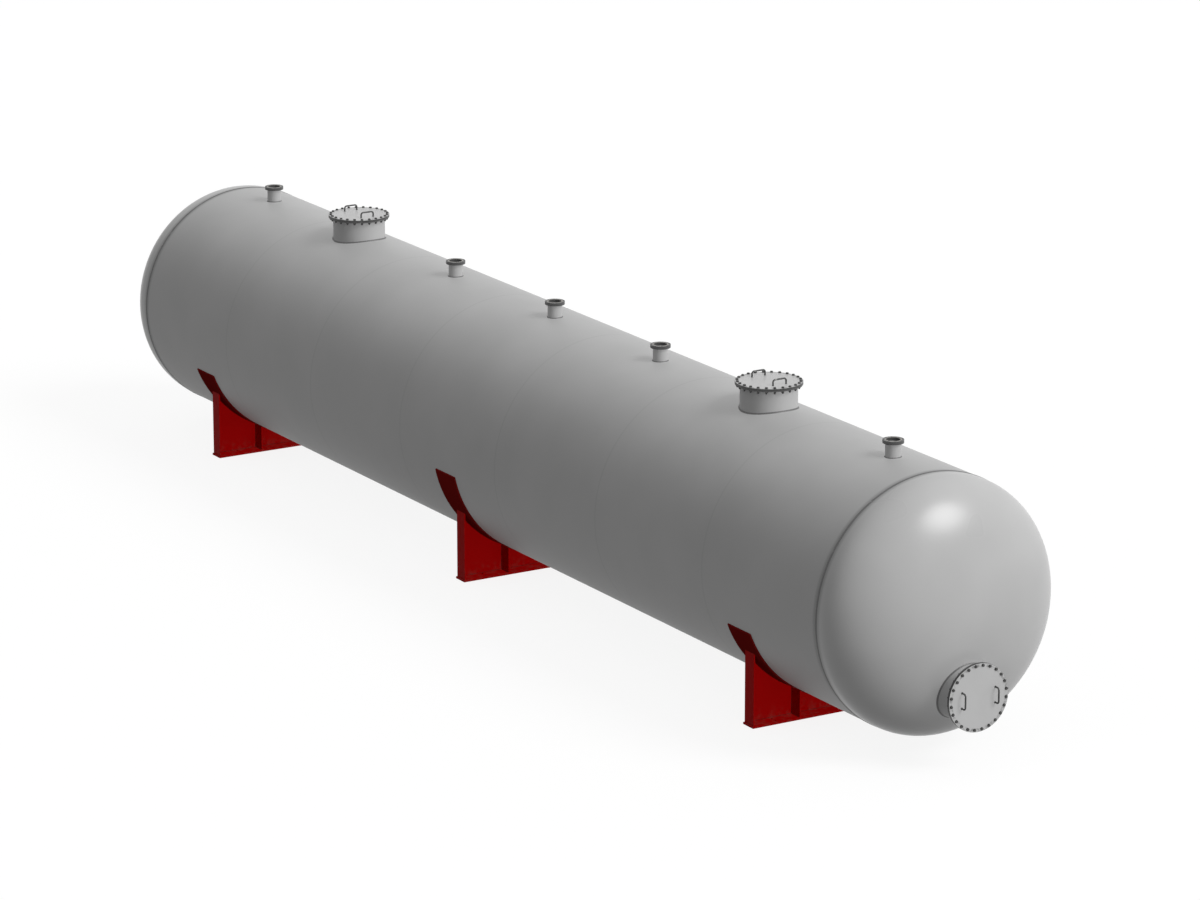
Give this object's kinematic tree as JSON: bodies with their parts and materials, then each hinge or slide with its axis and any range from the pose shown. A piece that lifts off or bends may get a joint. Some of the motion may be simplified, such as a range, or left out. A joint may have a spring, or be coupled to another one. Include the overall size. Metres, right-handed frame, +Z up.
{
  "type": "settling tank",
  "caption": "Horizontal settling tank: cylindrical steel vessel with dished ends, bolted manways and flanged nozzles, on three saddles.",
  "frame": {"origin": "on the ground, on the underside of the middle saddle's base plate, at its centre", "axes": "+X along the vessel's axis towards the head with the manway; +Z up"},
  "size_m": [14.815, 2.4304, 2.908],
  "materials": {
    "vessel_plate": "light grey satin paint on rolled steel plate",
    "nozzle_steel": "dark grey satin paint on forged steel",
    "flange_steel": "dark grey satin paint on cut plate",
    "cover_plate": "pale grey satin paint on cut plate",
    "handle_bar": "dark grey satin paint on bent round bar",
    "gasket": "matt black sheet",
    "saddle_paint": "deep red satin paint on welded plate",
    "bolt_steel": "dark blackened bolts and nuts",
    "weld_bead": "painted weld beads"
  },
  "bodies": {
    "root": {"shell_course_1": "vessel_plate", "shell_course_2": "vessel_plate", "shell_course_3": "vessel_plate", "shell_course_4": "vessel_plate", "shell_course_5": "vessel_plate", "shell_course_6": "vessel_plate", "shell_course_7": "vessel_plate", "head_front": "vessel_plate", "head_rear": "vessel_plate", "head_weld_front": "weld_bead", "head_weld_rear": "weld_bead", "nozzle_1": "nozzle_steel", "nozzle_2": "nozzle_steel", "nozzle_3": "nozzle_steel", "nozzle_4": "nozzle_steel", "nozzle_5": "nozzle_steel", "manway_front_neck": "vessel_plate", "manway_front_flange": "flange_steel", "manway_front_cover": "cover_plate", "manway_front_handles": "handle_bar", "manway_top_1_neck": "vessel_plate", "manway_top_1_flange": "flange_steel", "manway_top_1_cover": "cover_plate", "manway_top_1_handles": "handle_bar", "manway_top_2_neck": "vessel_plate", "manway_top_2_flange": "flange_steel", "manway_top_2_cover": "cover_plate", "manway_top_2_handles": "handle_bar", "manway_gaskets": "gasket", "saddle_1_pad": "saddle_paint", "saddle_1_web": "saddle_paint", "saddle_1_ribs": "saddle_paint", "saddle_1_base": "saddle_paint", "saddle_2_pad": "saddle_paint", "saddle_2_web": "saddle_paint", "saddle_2_ribs": "saddle_paint", "saddle_2_base": "saddle_paint", "saddle_3_pad": "saddle_paint", "saddle_3_web": "saddle_paint", "saddle_3_ribs": "saddle_paint", "saddle_3_base": "saddle_paint"}
  },
  "joints": []
}
